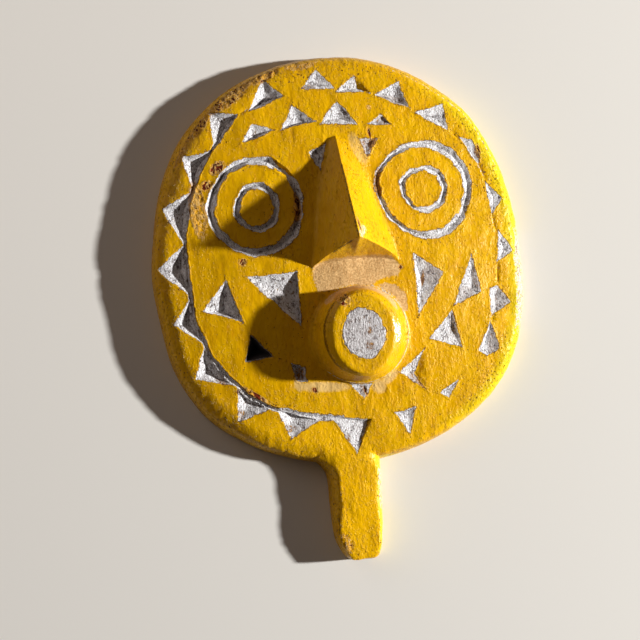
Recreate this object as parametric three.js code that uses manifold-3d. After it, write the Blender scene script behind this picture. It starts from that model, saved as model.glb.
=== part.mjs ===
// A carved and painted wooden mask: a domed disc face above a short grip, cut from one piece of wood.
// It lies on its back. +Z points out of the face, +Y to the top of the mask and +X to the viewer's right.
// The origin is on the flat back, in the middle of the mask's length and width. Sizes are millimetres.
// The shapes are worked out about the middle of the disc, and moved to the origin at the end.
// A clock angle is in degrees, clockwise from the top of the disc, seen from the front.
import * as THREE from "three";
import { ConvexGeometry } from "three/addons/geometries/ConvexGeometry.js";
import { mergeVertices } from "three/addons/utils/BufferGeometryUtils.js";
import Module from "manifold-3d";

const wasm = await Module();
wasm.setup();

// Driving dimensions of the whole mask
const LENGTH = 250;
const EDGE_HEIGHT = 14;
const DOME_RISE = 7;
const MOUTH_HEIGHT = 15.8;

// Distance from the disc's middle to its back edge, every 15 degrees clockwise from the top
const RIM_RADII = [
  103, 103, 101.5, 100, 96, 93, 92.3, 95, 99, 101, 100, 99.5,
  99.5, 99.5, 100, 100.5, 97.5, 93, 92.3, 92.5, 96, 99.5, 101.5, 102.5,
];
// Distance to its front edge, at the same angles
const FRONT_RADII = [
  99, 98.6, 96.9, 95.4, 91.6, 88.6, 87.4, 90.2, 95, 97.5, 96.8, 96.2,
  94.9, 96.4, 96.6, 95.9, 94, 89.2, 88.9, 89.8, 92, 95.8, 98.2, 99.1,
];
// Distance to the line that the outer row of notches stands on, at the same angles
const PANEL_RADII = [
  84.6, 83.5, 82.4, 84.3, 83.4, 79, 78, 78, 80, 82, 80, 78.2,
  77, 76.5, 79, 79.3, 77.8, 76.3, 75, 77, 80, 82.4, 86.6, 85,
];
const DISC_SIDES = 96;
const DISC_MIDDLE_Y = LENGTH / 2 - RIM_RADII[0];

// How the disc's side slopes in: shares of the way to the front edge and of its height there
const EDGE_PROFILE = [[0, 0], [0.14, 0.38], [0.38, 0.7], [0.65, 0.88], [1, 1]];
// The face is rounded down towards its edge, less on the right than on the left
const ROLL_WIDTH = { left: 6.5, right: 1.9 };
const ROLL_DROP = { left: 1.9, right: 0.95 };
const ROLL_INSETS = [0.8, 2.2, 5];
const DOME_STEPS = [0.88, 0.77, 0.64, 0.48, 0.3, 0.12];

// The hollow in the back
const BACK_RIM_WIDTH = 14;
const HOLLOW_DEPTH = 11;
const HOLLOW_STEPS = [1, 0.92, 0.82, 0.7, 0.55, 0.38, 0.2];

// The grip below the disc, from its right shoulder round to its left one: x and y of its edge at the
// back, then at the front, where it is level with the disc's face and falls away to its end
const GRIP_SIDES = [
  [13.6, -84, 10.4, -84], [12.4, -104, 9.6, -104], [11.1, -131, 8.3, -131], [9.8, -139, 7.6, -139.5],
  [6.2, -146.8, 4.6, -145], [-4.7, -147, -6.1, -145.5], [-10.8, -142.4, -9.4, -140.2],
  [-13.9, -134.5, -11.7, -134.5], [-14.6, -120, -11, -120], [-14.8, -105.5, -10.7, -104.5],
  [-17.6, -100, -13.4, -98.4], [-24, -92, -22, -88],
];
const GRIP_PROFILE = [[0, 0], [0.15, 0.4], [0.5, 0.78], [1, 1]];
const GRIP_FALL = { start: -96, end: -147, drop: 1.6 };

// Nose, row by row from the brow down: y, x of the left foot, x and height of the ridge, x of the right foot
const NOSE_ROWS = [
  [59.8, 1.2, 2.2, 20.2, 4], [55, -3, 2.5, 22.6, 11.5], [50, -4.8, 2.9, 24.8, 13.6],
  [43, -6.2, 3.3, 28.8, 15.2], [36, -7.5, 3.8, 33.6, 16.6], [28.5, -8.7, 4.3, 38.6, 18.4],
  [16, -11, 5.2, 46.2, 22.4], [8.1, -12.4, 5.7, 49.7, 25], [-2, -14.3, 6.2, 53, 27.4],
];
// The nose's underside falls from its tip to three points on the face, in two flat sides
const NOSE_TIP = [5.7, 8.5, 49.7];
const NOSE_UNDER_FEET = [[-14, -2.2], [5.7, 0.6], [28, -2.6]];

// Mouth: an oval stub with a hollow side and a worn bevel; half width and half height at each level
const MOUTH_MIDDLE = [5.4, -36];
const MOUTH_FOOT = [24, 24];
const MOUTH_SHOULDER = [18.1, 20.6];
const MOUTH_END = [14.6, 19.2];
const MOUTH_BEVEL = 2.1;
const MOUTH_COVE = 1.9;
const MOUTH_STEPS = [0, 0.35, 0.7, 1];
const MOUTH_SIDES = 48;

// Eyes: two rings cut as V grooves round each one
const EYE_RINGS = [
  { middle: [42.7, 31.6], radius: 22.6, width: 3.4, depth: 1.2 },
  { middle: [43.3, 31.9], radius: 10.3, width: 2.8, depth: 1 },
  { middle: [-39.4, 29.5], radius: 21.8, width: 4, depth: 2.2 },
  { middle: [-39, 28.8], radius: 10, width: 3.1, depth: 1.7 },
];
const RING_SIDES = 36;

// Notches between the edge and the panel, and chips in the face: corners, the pit and its depth.
// A notch's base is its side nearest the disc's middle. A chip's base is the side from its last corner
// to its first.
const EDGE_NOTCHES = [
  { corners: [[-4, 95], [4.5, 84.5], [-12, 85]], pit: [-3.5, 88.5], depth: 1.5 },
  { corners: [[14, 90.5], [21.5, 81], [5, 83]], pit: [15.6, 85], depth: 3.2 },
  { corners: [[36, 86.5], [40, 72.5], [23, 80]], pit: [33.5, 78], depth: 4 },
  { corners: [[57.5, 73], [58.5, 60], [42.5, 70]], pit: [54.5, 68], depth: 2 },
  { corners: [[69.5, 55], [74, 48], [72, 42], [64, 56.5]], pit: [70.3, 48.5], depth: 2.2 },
  { corners: [[74.5, 33.5], [82.5, 25], [76.5, 17]], pit: [80.5, 26], depth: 2.2 },
  { corners: [[79, 9], [86, -1.5], [77.5, -6.5]], pit: [83, -1.5], depth: 2.4 },
  { corners: [[76, -17.5], [82.5, -26.5], [72, -32.5], [72, -20]], pit: [76.5, -26.5], depth: 3.5 },
  { corners: [[71, -35.5], [74.5, -49.5], [68, -52], [63.5, -49.5]], pit: [68.5, -47], depth: 3.6 },
  { corners: [[53, -62], [47, -71.5], [42.5, -68]], pit: [48, -67.5], depth: 1.2 },
  { corners: [[30, -74], [26.5, -86.5], [19.5, -75.5]], pit: [26, -76], depth: 1.9 },
  { corners: [[8, -77.5], [0, -93.5], [-11.5, -75.5]], pit: [6, -79.2], depth: 2.4 },
  { corners: [[-17.5, -76], [-31.5, -84.5], [-37.5, -69.5]], pit: [-30.5, -73], depth: 3 },
  { corners: [[-40.4, -68.3], [-50.3, -71.8], [-57, -73.4], [-56.1, -57.5]], pit: [-52, -66], depth: 3.3 },
  { corners: [[-56, -56], [-76, -51.5], [-69.5, -35]], pit: [-73, -51], depth: 4 },
  { corners: [[-70, -34.5], [-83.5, -24], [-75, -12.5]], pit: [-78, -24.5], depth: 4 },
  { corners: [[-74.5, -11.5], [-89, 3], [-75.5, 14]], pit: [-80, 1.5], depth: 4.2 },
  { corners: [[-75.5, 14.5], [-84.5, 32], [-69, 40]], pit: [-76.5, 29.5], depth: 4 },
  { corners: [[-69, 40.5], [-73.5, 56.5], [-58, 58.5]], pit: [-66.5, 53], depth: 4.3 },
  { corners: [[-57.5, 59], [-57.5, 77.5], [-44, 75]], pit: [-51, 71.5], depth: 3.2 },
  { corners: [[-39, 76], [-31, 92], [-20.5, 82.5]], pit: [-31, 82.5], depth: 4.3 },
];
const FACE_CHIPS = [
  { corners: [[-45, 58.5], [-38, 70], [-24.5, 65.5], [-35, 63]], pit: [-36.5, 64.5], depth: 2.5 },
  { corners: [[-24, 66], [-17.5, 77.5], [-7, 69]], pit: [-16, 69.5], depth: 3 },
  { corners: [[-4.5, 67.5], [4.5, 78.5], [13, 66]], pit: [5, 71.5], depth: 2.9 },
  { corners: [[18.5, 65.5], [25.5, 70.5], [30.5, 64.5]], pit: [27, 68.5], depth: 2.1 },
  { corners: [[-6.5, 44.5], [-12, 54], [-3, 57.5]], pit: [-8, 53.5], depth: 3 },
  { corners: [[17, 49], [14, 58.5], [23, 58]], pit: [15.5, 56.5], depth: 2.5 },
  { corners: [[-50, -26], [-69, -19], [-57, -4.5]], pit: [-62.5, -22], depth: 4.2 },
  { corners: [[-22.5, -30.5], [-47, -4], [-22.5, -3.5]], pit: [-24, -16], depth: 4.6 },
  { corners: [[-37, -43.5], [-51, -45.5], [-47, -32.5]], pit: [-46, -40], depth: 6 },
  { corners: [[-21.5, -56.5], [-27, -56.5], [-29, -47.5], [-22.5, -50]], pit: [-25.5, -53], depth: 3 },
  { corners: [[5.5, -67.5], [-1, -60], [9.5, -60.5]], pit: [1.6, -62.4], depth: 0.8 },
  { corners: [[35, 0.5], [49.5, -9.5], [35.5, -29]], pit: [40.5, -12.5], depth: 4.2 },
  { corners: [[67.5, -20.5], [53, -25.5], [64, -2]], pit: [60.5, -19.5], depth: 2.8 },
  { corners: [[55.5, -46.5], [40, -41.5], [52, -28]], pit: [50, -38.5], depth: 2.8 },
  { corners: [[36.5, -65.5], [23.5, -56], [37, -46]], pit: [26.5, -57], depth: 2.6 },
];
// How far each pit lies towards its steep base wall, and how much flatter the cuts on the right are
const PIT_TO_BASE = 0.4;
const RIGHT_FLATTER = 0.34;
const FAR_RIGHT_FLATTER = 0.08;

// Thin grooves join the bases of the notches
const PANEL_GROOVES = [
  { start: 206, end: 322, width: 2.4, depth: 1.2 }, { start: 183, end: 208, width: 3.6, depth: 1.1 },
  { start: 57, end: 67, width: 1.5, depth: 0.6 }, { start: 76, end: 85, width: 1.5, depth: 0.6 },
  { start: 94, end: 104, width: 1.6, depth: 0.7 }, { start: 112, end: 118, width: 1.4, depth: 0.5 },
  { start: 43.5, end: 50, width: 1.4, depth: 0.5 }, { start: 328, end: 336, width: 1.5, depth: 0.5 },
];
const GROOVE_STEP = 4;

// A value given every few degrees round the disc, read smoothly at any clock angle
function around(values, clock) {
  const place = (((clock % 360) + 360) % 360) / (360 / values.length);
  const index = Math.floor(place);
  const t = place - index;
  const at = (offset) => values[(index + offset + values.length) % values.length];
  const [a, b, c, d] = [at(-1), at(0), at(1), at(2)];
  return b + 0.5 * t * (c - a + t * (2 * a - 5 * b + 4 * c - d + t * (3 * (b - c) + d - a)));
}

function onClock(clock, radius, z = 0) {
  const angle = THREE.MathUtils.degToRad(clock);
  return new THREE.Vector3(radius * Math.sin(angle), radius * Math.cos(angle), z);
}

function faceRadius(clock) {
  return around(FRONT_RADII, clock);
}

// How wide and how deep the face's rounded edge is
function rollAt(clock) {
  const turned = Math.sin(THREE.MathUtils.degToRad(clock));
  const toRight = THREE.MathUtils.smoothstep(turned, -0.3, 0.8);
  return {
    width: THREE.MathUtils.lerp(ROLL_WIDTH.left, ROLL_WIDTH.right, toRight),
    drop: THREE.MathUtils.lerp(ROLL_DROP.left, ROLL_DROP.right, toRight),
  };
}

// Height of the domed face above the back, before anything is cut in it
function faceHeight(x, y) {
  const clock = THREE.MathUtils.radToDeg(Math.atan2(x, y));
  const reach = faceRadius(clock);
  const distance = Math.min(reach, Math.hypot(x, y));
  const share = distance / reach;
  const { width, drop } = rollAt(clock);
  const roll = Math.max(0, 1 - (reach - distance) / width);
  return EDGE_HEIGHT + DOME_RISE * (1 - share * share) - drop * roll * roll;
}

function onFace([x, y], lift = 0) {
  return new THREE.Vector3(x, y, faceHeight(x, y) + lift);
}

function faceNormal([x, y]) {
  const step = 0.5;
  const slopeX = (faceHeight(x + step, y) - faceHeight(x - step, y)) / (2 * step);
  const slopeY = (faceHeight(x, y + step) - faceHeight(x, y - step)) / (2 * step);
  return new THREE.Vector3(-slopeX, -slopeY, 1).normalize();
}

// A closed skin over rings of points, each ring clockwise seen from above, from the lowest ring up
function loft(rings) {
  const count = rings[0].length;
  const points = rings.flat();
  const middle = (ring) => ring.reduce((sum, p) => sum.add(p), new THREE.Vector3()).divideScalar(count);
  const bottom = points.push(middle(rings[0])) - 1;
  const top = points.push(middle(rings.at(-1))) - 1;
  const last = (rings.length - 1) * count;
  const index = [];
  for (let i = 0; i < count; i += 1) {
    const next = (i + 1) % count;
    index.push(bottom, i, next);
    index.push(top, last + next, last + i);
    for (let low = 0; low < last; low += count) {
      index.push(low + i, low + count + i, low + next);
      index.push(low + next, low + count + i, low + count + next);
    }
  }
  const geometry = new THREE.BufferGeometry().setFromPoints(points);
  geometry.setIndex(index);
  return geometry;
}

function toSolid(geometry) {
  geometry.deleteAttribute("normal");
  geometry.deleteAttribute("uv");
  const merged = mergeVertices(geometry, 1e-4);
  const vertProperties = new Float32Array(merged.attributes.position.array);
  const triVerts = new Uint32Array(merged.index.array);
  return new wasm.Manifold(new wasm.Mesh({ numProp: 3, vertProperties, triVerts }));
}

function toGeometry(solid) {
  const mesh = solid.getMesh();
  const geometry = new THREE.BufferGeometry();
  geometry.setAttribute("position", new THREE.BufferAttribute(mesh.vertProperties, mesh.numProp));
  geometry.setIndex(new THREE.BufferAttribute(mesh.triVerts, 1));
  return geometry;
}

// A ring of points all round the disc, where both the distance and the height may change with the clock
function discRing(radiusAt, heightAt) {
  const ring = [];
  for (let i = 0; i < DISC_SIDES; i += 1) {
    const clock = (i * 360) / DISC_SIDES;
    const point = onClock(clock, radiusAt(clock));
    ring.push(point.setZ(heightAt(point.x, point.y)));
  }
  return ring;
}

function disc() {
  const rings = EDGE_PROFILE.map(([inwards, height]) =>
    discRing(
      (clock) => THREE.MathUtils.lerp(around(RIM_RADII, clock), faceRadius(clock), inwards),
      (x, y) => (EDGE_HEIGHT - rollAt(THREE.MathUtils.radToDeg(Math.atan2(x, y))).drop) * height,
    ));
  for (const inset of ROLL_INSETS) {
    rings.push(discRing((clock) => faceRadius(clock) - inset, faceHeight));
  }
  for (const share of DOME_STEPS) {
    rings.push(discRing((clock) => faceRadius(clock) * share, faceHeight));
  }
  return toSolid(loft(rings));
}

// The hollow's depth falls off slowly in its middle and steeply near its rim
function hollow() {
  const radiusAt = (clock) => around(RIM_RADII, clock) - BACK_RIM_WIDTH;
  const rings = [discRing(radiusAt, () => -5)];
  for (const share of HOLLOW_STEPS) {
    rings.push(discRing((clock) => radiusAt(clock) * share, () => HOLLOW_DEPTH * (1 - share ** 3)));
  }
  return toSolid(loft(rings));
}

function grip() {
  const rings = GRIP_PROFILE.map(([inwards, height]) =>
    GRIP_SIDES.map(([backX, backY, frontX, frontY]) => {
      const y = THREE.MathUtils.lerp(backY, frontY, inwards);
      const fallen = Math.max(0, (GRIP_FALL.start - y) / (GRIP_FALL.start - GRIP_FALL.end));
      const front = EDGE_HEIGHT - GRIP_FALL.drop * fallen;
      return new THREE.Vector3(THREE.MathUtils.lerp(backX, frontX, inwards), y, front * height);
    }));
  return toSolid(loft(rings));
}

// A straight line from one point through another, carried on past it
function beyond(from, through, share) {
  return from.clone().lerp(through, share);
}

// One row of the nose: its sides are carried on below the face, so that they meet it where they should
function noseRow([y, leftFoot, ridgeX, ridgeHeight, rightFoot]) {
  const ridge = new THREE.Vector3(ridgeX, y, ridgeHeight);
  return [ridge, ...[leftFoot, rightFoot].map((x) => beyond(ridge, onFace([x, y]), 1.2))];
}

// What is cut away below the nose's tip, so that its underside is left
function noseUndercut() {
  const tip = new THREE.Vector3(...NOSE_TIP);
  const feet = NOSE_UNDER_FEET.map((foot) => onFace(foot));
  const ends = [tip, ...feet];
  const lower = feet.map((foot) => beyond(tip, foot, 1.3));
  const far = ends.map(({ x, z }) => new THREE.Vector3(x, -60, z));
  return toSolid(new ConvexGeometry([beyond(feet[1], tip, 1.5), ...lower, ...far]));
}

function nose() {
  const rows = NOSE_ROWS.map(noseRow);
  const wedges = rows.slice(1).map((row, i) => toSolid(new ConvexGeometry([...rows[i], ...row])));
  return wedges.reduce((solid, wedge) => solid.add(wedge)).subtract(noseUndercut());
}

function ovalRing([halfWidth, halfHeight], z) {
  const ring = [];
  for (let i = 0; i < MOUTH_SIDES; i += 1) {
    const angle = (i * 2 * Math.PI) / MOUTH_SIDES;
    const x = MOUTH_MIDDLE[0] + halfWidth * Math.sin(angle);
    const y = MOUTH_MIDDLE[1] + halfHeight * Math.cos(angle);
    ring.push(new THREE.Vector3(x, y, z));
  }
  return ring;
}

function mouth() {
  const foot = faceHeight(...MOUTH_MIDDLE);
  const end = foot + MOUTH_HEIGHT;
  const wall = MOUTH_HEIGHT - MOUTH_BEVEL;
  const sizeAt = (share) => MOUTH_FOOT.map((size, i) => THREE.MathUtils.lerp(size, MOUTH_SHOULDER[i], share));
  return toSolid(loft([
    ovalRing(sizeAt(-0.3), foot - 0.3 * wall),
    ...MOUTH_STEPS.map((share) => ovalRing(sizeAt(share), foot + wall * share ** MOUTH_COVE)),
    ovalRing(MOUTH_END, end),
  ]));
}

// A V groove round an eye, square to the face there
function eyeRing({ middle, radius, width, depth }) {
  const rise = 4;
  const half = (width / 2) * (1 + rise / depth);
  const profile = [[radius - half, rise], [radius, -depth], [radius + half, rise], [radius - half, rise]];
  const geometry = new THREE.LatheGeometry(profile.map(([r, z]) => new THREE.Vector2(r, z)), RING_SIDES);
  geometry.rotateX(Math.PI / 2);
  const straightUp = new THREE.Vector3(0, 0, 1);
  geometry.applyQuaternion(new THREE.Quaternion().setFromUnitVectors(straightUp, faceNormal(middle)));
  geometry.translate(...onFace(middle));
  return toSolid(geometry);
}

// The two ends of a notch's base: its side nearest the disc's middle
function notchBase(corners) {
  const sides = corners.map((corner, i) => [corner, corners[(i + 1) % corners.length]]);
  const nearness = ([a, b]) => Math.hypot(a[0] + b[0], a[1] + b[1]);
  return sides.reduce((best, side) => (nearness(side) < nearness(best) ? side : best));
}

// How much flatter a cut is than its depth says, by its place across the mask
function flatterAt(x) {
  const { smoothstep } = THREE.MathUtils;
  return RIGHT_FLATTER * smoothstep(x, -35, 25) + FAR_RIGHT_FLATTER * smoothstep(x, 20, 50);
}

// A pit with flat sides, which run from its deepest point through the corners and on above the face
function chip({ corners, pit, depth }, [from, to]) {
  const start = new THREE.Vector3(...from, 0);
  const along = new THREE.Vector3(...to, 0).sub(start);
  const place = new THREE.Vector3(...pit, 0);
  const foot = start.clone().addScaledVector(along, place.clone().sub(start).dot(along) / along.lengthSq());
  place.lerp(foot, PIT_TO_BASE);
  const bottom = onFace([place.x, place.y], -depth * (1 - flatterAt(place.x)));
  return toSolid(new ConvexGeometry([bottom, ...corners.map((corner) => beyond(bottom, onFace(corner), 2))]));
}

function edgeNotch(notch) {
  return chip(notch, notchBase(notch.corners));
}

function faceChip(cut) {
  return chip(cut, [cut.corners.at(-1), cut.corners[0]]);
}

// A V cut that follows the panel's line
function panelGroove({ start, end, width, depth }) {
  const rise = 2;
  const half = (width / 2) * (1 + rise / depth);
  const steps = Math.ceil((end - start) / GROOVE_STEP);
  const rings = [];
  for (let i = 0; i <= steps; i += 1) {
    const clock = THREE.MathUtils.lerp(start, end, i / steps);
    const radius = around(PANEL_RADII, clock);
    const bottom = onClock(clock, radius);
    const height = faceHeight(bottom.x, bottom.y);
    rings.push([
      onClock(clock, radius + half, height + rise),
      bottom.setZ(height - depth),
      onClock(clock, radius - half, height + rise),
    ]);
  }
  return toSolid(loft(rings));
}

function carvedMask() {
  const cuts = [
    hollow(),
    ...PANEL_GROOVES.map(panelGroove),
    ...EYE_RINGS.map(eyeRing),
    ...EDGE_NOTCHES.map(edgeNotch),
    ...FACE_CHIPS.map(faceChip),
  ];
  const block = disc().add(grip()).add(nose()).add(mouth());
  const carved = cuts.reduce((solid, cut) => solid.subtract(cut), block);
  return toGeometry(carved).translate(0, DISC_MIDDLE_Y, 0);
}

const paintedWood = new THREE.MeshStandardMaterial({ color: 0xd9960c, roughness: 0.45, metalness: 0 });
const mask = new THREE.Mesh(carvedMask(), paintedWood);
mask.name = "carved_mask";

const part = new THREE.Group();
part.add(mask);

export default part;
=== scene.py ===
"""Looks of the painted wooden disc mask: one finely carved mesh, its paint, a floor, lights and a camera.

The mask lies on its back. Shapes are worked out in millimetres about the middle of the disc, with +Y to
the top of the mask, and are moved into the CAD frame when the mesh is made. A clock angle is in degrees,
clockwise from the top of the disc, seen from the front.
"""

import math
from collections import namedtuple

import bpy
import numpy as np
from mathutils import Matrix, Vector
from mathutils.geometry import delaunay_2d_cdt


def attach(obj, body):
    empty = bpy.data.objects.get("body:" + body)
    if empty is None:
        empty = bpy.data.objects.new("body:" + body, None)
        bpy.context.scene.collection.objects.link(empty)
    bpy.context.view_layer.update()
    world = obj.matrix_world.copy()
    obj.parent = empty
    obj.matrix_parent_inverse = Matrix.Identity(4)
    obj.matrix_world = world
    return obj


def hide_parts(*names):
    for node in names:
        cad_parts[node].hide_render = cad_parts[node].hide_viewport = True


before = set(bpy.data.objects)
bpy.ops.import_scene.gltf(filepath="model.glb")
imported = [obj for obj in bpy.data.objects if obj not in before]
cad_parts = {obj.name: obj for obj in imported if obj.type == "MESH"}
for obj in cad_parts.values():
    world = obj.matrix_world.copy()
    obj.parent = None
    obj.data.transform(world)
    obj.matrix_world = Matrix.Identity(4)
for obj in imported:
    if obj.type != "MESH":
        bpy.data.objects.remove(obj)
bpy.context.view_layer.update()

MM = 0.001
DISC_MIDDLE_Y = 22.0

# The disc, its dome and the hollow in its back, as in the CAD model
EDGE_HEIGHT = 14.0
DOME_RISE = 7.0
BACK_RIM_WIDTH = 14.0
HOLLOW_DEPTH = 11.0
# The rolled front edge, how much narrower and flatter it is on the right, and its width and drop on the grip
ROLL_WIDTH = 6.5
ROLL_DROP = 1.9
ROLL_NARROWER = 4.6
ROLL_FLATTER = 0.5
GRIP_ROLL = (1.6, 0.5)

# Distances from the disc's middle every 15 degrees clockwise from the top: to its edge at the back, to
# its edge at the front, and to the line that the outer row of notches stands on
RIM_RADII = [
    103, 103, 101.5, 100, 96, 93, 92.3, 95, 99, 101, 100, 99.5,
    99.5, 99.5, 100, 100.5, 97.5, 93, 92.3, 92.5, 96, 99.5, 101.5, 102.5,
]
FRONT_RADII = [
    99, 98.6, 96.9, 95.4, 91.6, 88.6, 87.4, 90.2, 95, 97.5, 96.8, 96.2,
    94.9, 96.4, 96.6, 95.9, 94, 89.2, 88.9, 89.8, 92, 95.8, 98.2, 99.1,
]
PANEL_RADII = [
    84.6, 83.5, 82.4, 84.3, 83.4, 79, 78, 78, 80, 82, 80, 78.2,
    77, 76.5, 79, 79.3, 77.8, 76.3, 75, 77, 80, 82.4, 86.6, 85,
]

# Clock angles where the grip joins the disc, on the left and on the right, at the back and the front
BACK_JOINS = (191.4, 172.6)
FRONT_JOINS = (192.0, 174.8)
# The grip's edge from the right join round to the left one: x and y at the back, then at the front
GRIP_SIDES = [
    (12.4, -104, 9.6, -103), (12, -114, 9, -114), (11.4, -124, 8.6, -124), (10.9, -133, 8.2, -133),
    (9.8, -139.5, 7.6, -139.8), (8.4, -144.6, 6.2, -143.4), (5.6, -146.8, 3.8, -145.3),
    (0.5, -146.9, -0.8, -145.4), (-4.9, -146.8, -6, -145.4), (-8.6, -145.3, -8, -143),
    (-11.8, -140.4, -10.2, -139.2), (-13.8, -134.5, -11.7, -134.6), (-14.4, -126, -11.6, -127),
    (-14.6, -118, -10.9, -119.5), (-14.5, -110, -10.8, -110.5), (-15, -104.5, -10.7, -103.8),
    (-16.6, -101, -12.4, -99.6),
]
GRIP_TOP = -96.0
GRIP_END = -147.0
GRIP_FALL = 1.6
# Over how much of its length the grip grows out of the disc, and how far from the middle it can lie
GRIP_BLEND = 6.0
GRIP_REACH = 30.0
# Points along the disc's edge
DISC_STEPS = 900

# How far the side has moved in from the back edge to the front edge, and how high it is there
SIDE_PROFILE = [(0, 0), (0.05, 0.16), (0.14, 0.38), (0.25, 0.55), (0.38, 0.7), (0.52, 0.8), (0.65, 0.88),
                (0.84, 0.95), (1, 1)]

# Nose, row by row from the brow down: y, x of the left foot, x and height of the ridge, x of the right foot
NOSE_ROWS = [
    (59.8, 1.2, 2.2, 20.2, 4), (58.5, -0.5, 2.3, 20.9, 8), (55, -3, 2.5, 22.6, 11.5),
    (50, -4.8, 2.9, 24.8, 13.6), (43, -6.2, 3.3, 28.8, 15.2), (36, -7.5, 3.8, 33.6, 16.6),
    (28.5, -8.7, 4.3, 38.5, 18.4), (21.5, -9.9, 4.8, 42.6, 20.6), (16, -11, 5.2, 45.7, 22.4),
    (8.1, -12.4, 5.7, 49.2, 25), (-2, -14.3, 6.2, 52.4, 27.4),
]
# How hollow the nose's sides are, from ridge to foot: 1 is a flat cut; then how far the ridge is rounded
NOSE_HOLLOW = 0.9
RIDGE_ROUND = 0.02
# The nose's underside: the lower edge of its sides, and where the underside meets the face
NOSE_UNDER_EDGE = [
    (-14, -1.6), (-11.6, -0.1), (-9.5, 1.4), (-6.8, 3), (-4.3, 4.2), (-1.7, 5.6), (0.9, 7.2), (3.5, 8.2),
    (5.7, 8.5), (8.1, 8.1), (10.4, 7.4), (12.7, 6.6), (15.4, 5.5), (18.4, 4.2), (22.3, 2.3), (24.7, 1),
    (26.4, -0.2), (28, -1.6),
]
NOSE_UNDER_FOOT = [
    (-14, -2.4), (-11.4, -1), (-8.9, -0.4), (0, 0), (6, 0.6), (11.9, 0.8), (20.6, -0.2), (26.3, -1.8),
    (28, -2.8),
]

# Mouth: half width and half height of its oval at the foot, at the shoulder and at the end
MOUTH_MIDDLE = (5.4, -36.0)
MOUTH_HEIGHT = 15.8
MOUTH_BEVEL = 2.1
MOUTH_FOOT = (24.0, 24.0)
MOUTH_SHOULDER = (18.1, 20.6)
MOUTH_END = (14.6, 19.2)
MOUTH_REACH = 30.0
# How hollow the mouth's side is: 1 is a straight cone
MOUTH_COVE = 1.9
# Clock angles on the mouth: the middle of its worn side and of the pale line along its foot, which is worn
# paint with a painted highlight, and between which the corner under its end gets painted shade
MOUTH_WORN_CLOCK = 8
MOUTH_LINE_CLOCK = 100
MOUTH_DARK_CLOCKS = (195, 340)
# The white oval painted on the mouth's end: middle, half width and half height
MOUTH_OVAL = (5.3, -36.1, 10.3, 12.2)

# V grooves round the eyes: the middle of a ring, half its width and height, its number of knife cuts, the
# groove's width and depth, how much broader it is on its right side, and how much flatter the ring is at
# its lower left
Ring = namedtuple("Ring", "x y half_width half_height cuts width depth lean flat")
EYE_RINGS = [
    Ring(42.7, 31.6, 22.9, 22.7, 13, 3.4, 1.2, 0.32, 1.7),
    Ring(43.3, 31.9, 10.6, 10.3, 9, 2.8, 1.0, 0.1, 0.3),
    Ring(-39.4, 29.5, 21.5, 22.4, 13, 4.0, 2.2, 0.02, 0),
    Ring(-39.0, 28.8, 9.7, 10.6, 9, 3.1, 1.7, 0.06, 0),
]
FLAT_SIDE_ANGLE = 213
# Thin grooves join the bases of the notches: start and end clock, width, depth, and whether it is white
PANEL_GROOVES = [
    (206, 322, 2.4, 1.2, True), (183, 208, 3.6, 1.1, True), (57, 67, 1.5, 0.6, False),
    (76, 85, 1.5, 0.6, False), (94, 104, 1.6, 0.7, False), (112, 118, 1.4, 0.5, False),
    (43.5, 50, 1.4, 0.5, False), (328, 336, 1.5, 0.5, False),
]
GROOVE_FADE = 3

# Every cut notch: its corners, then the pit between them and the pit's depth
EDGE_NOTCHES = [
    (((-4, 95), (4.5, 84.5), (-12, 85)), (-3.5, 88.5), 1.5),
    (((14, 90.5), (21.5, 81), (5, 83)), (15.6, 85), 3.2),
    (((36, 86.5), (40, 72.5), (23, 80)), (33.5, 78), 4),
    (((57.5, 73), (58.5, 60), (42.5, 70)), (54.5, 68), 2),
    (((69.5, 55), (74, 48), (72, 42), (64, 56.5)), (70.3, 48.5), 2.2),
    (((74.5, 33.5), (82.5, 25), (76.5, 17)), (80.5, 26), 2.2),
    (((79, 9), (86, -1.5), (77.5, -6.5)), (83, -1.5), 2.4),
    (((76, -17.5), (82.5, -26.5), (72, -32.5), (72, -20)), (76.5, -26.5), 3.5),
    (((71, -35.5), (74.5, -49.5), (68, -52), (63.5, -49.5)), (68.5, -47), 3.6),
    (((53, -62), (47, -71.5), (42.5, -68)), (48, -67.5), 1.2),
    (((30, -74), (26.5, -86.5), (19.5, -75.5)), (26, -76), 1.9),
    (((8, -77.5), (0, -93.5), (-11.5, -75.5)), (6, -79.2), 2.4),
    (((-17.5, -76), (-31.5, -84.5), (-37.5, -69.5)), (-30.5, -73), 3),
    (((-40.4, -68.3), (-50.3, -71.8), (-57, -73.4), (-56.1, -57.5)), (-52, -66), 3.3),
    (((-56, -56), (-76, -51.5), (-69.5, -35)), (-73, -51), 4),
    (((-70, -34.5), (-83.5, -24), (-75, -12.5)), (-78, -24.5), 4),
    (((-74.5, -11.5), (-89, 3), (-75.5, 14)), (-80, 1.5), 4.2),
    (((-75.5, 14.5), (-84.5, 32), (-69, 40)), (-76.5, 29.5), 4),
    (((-69, 40.5), (-73.5, 56.5), (-58, 58.5)), (-66.5, 53), 4.3),
    (((-57.5, 59), (-57.5, 77.5), (-44, 75)), (-51, 71.5), 3.2),
    (((-39, 76), (-31, 92), (-20.5, 82.5)), (-31, 82.5), 4.3),
]
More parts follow.
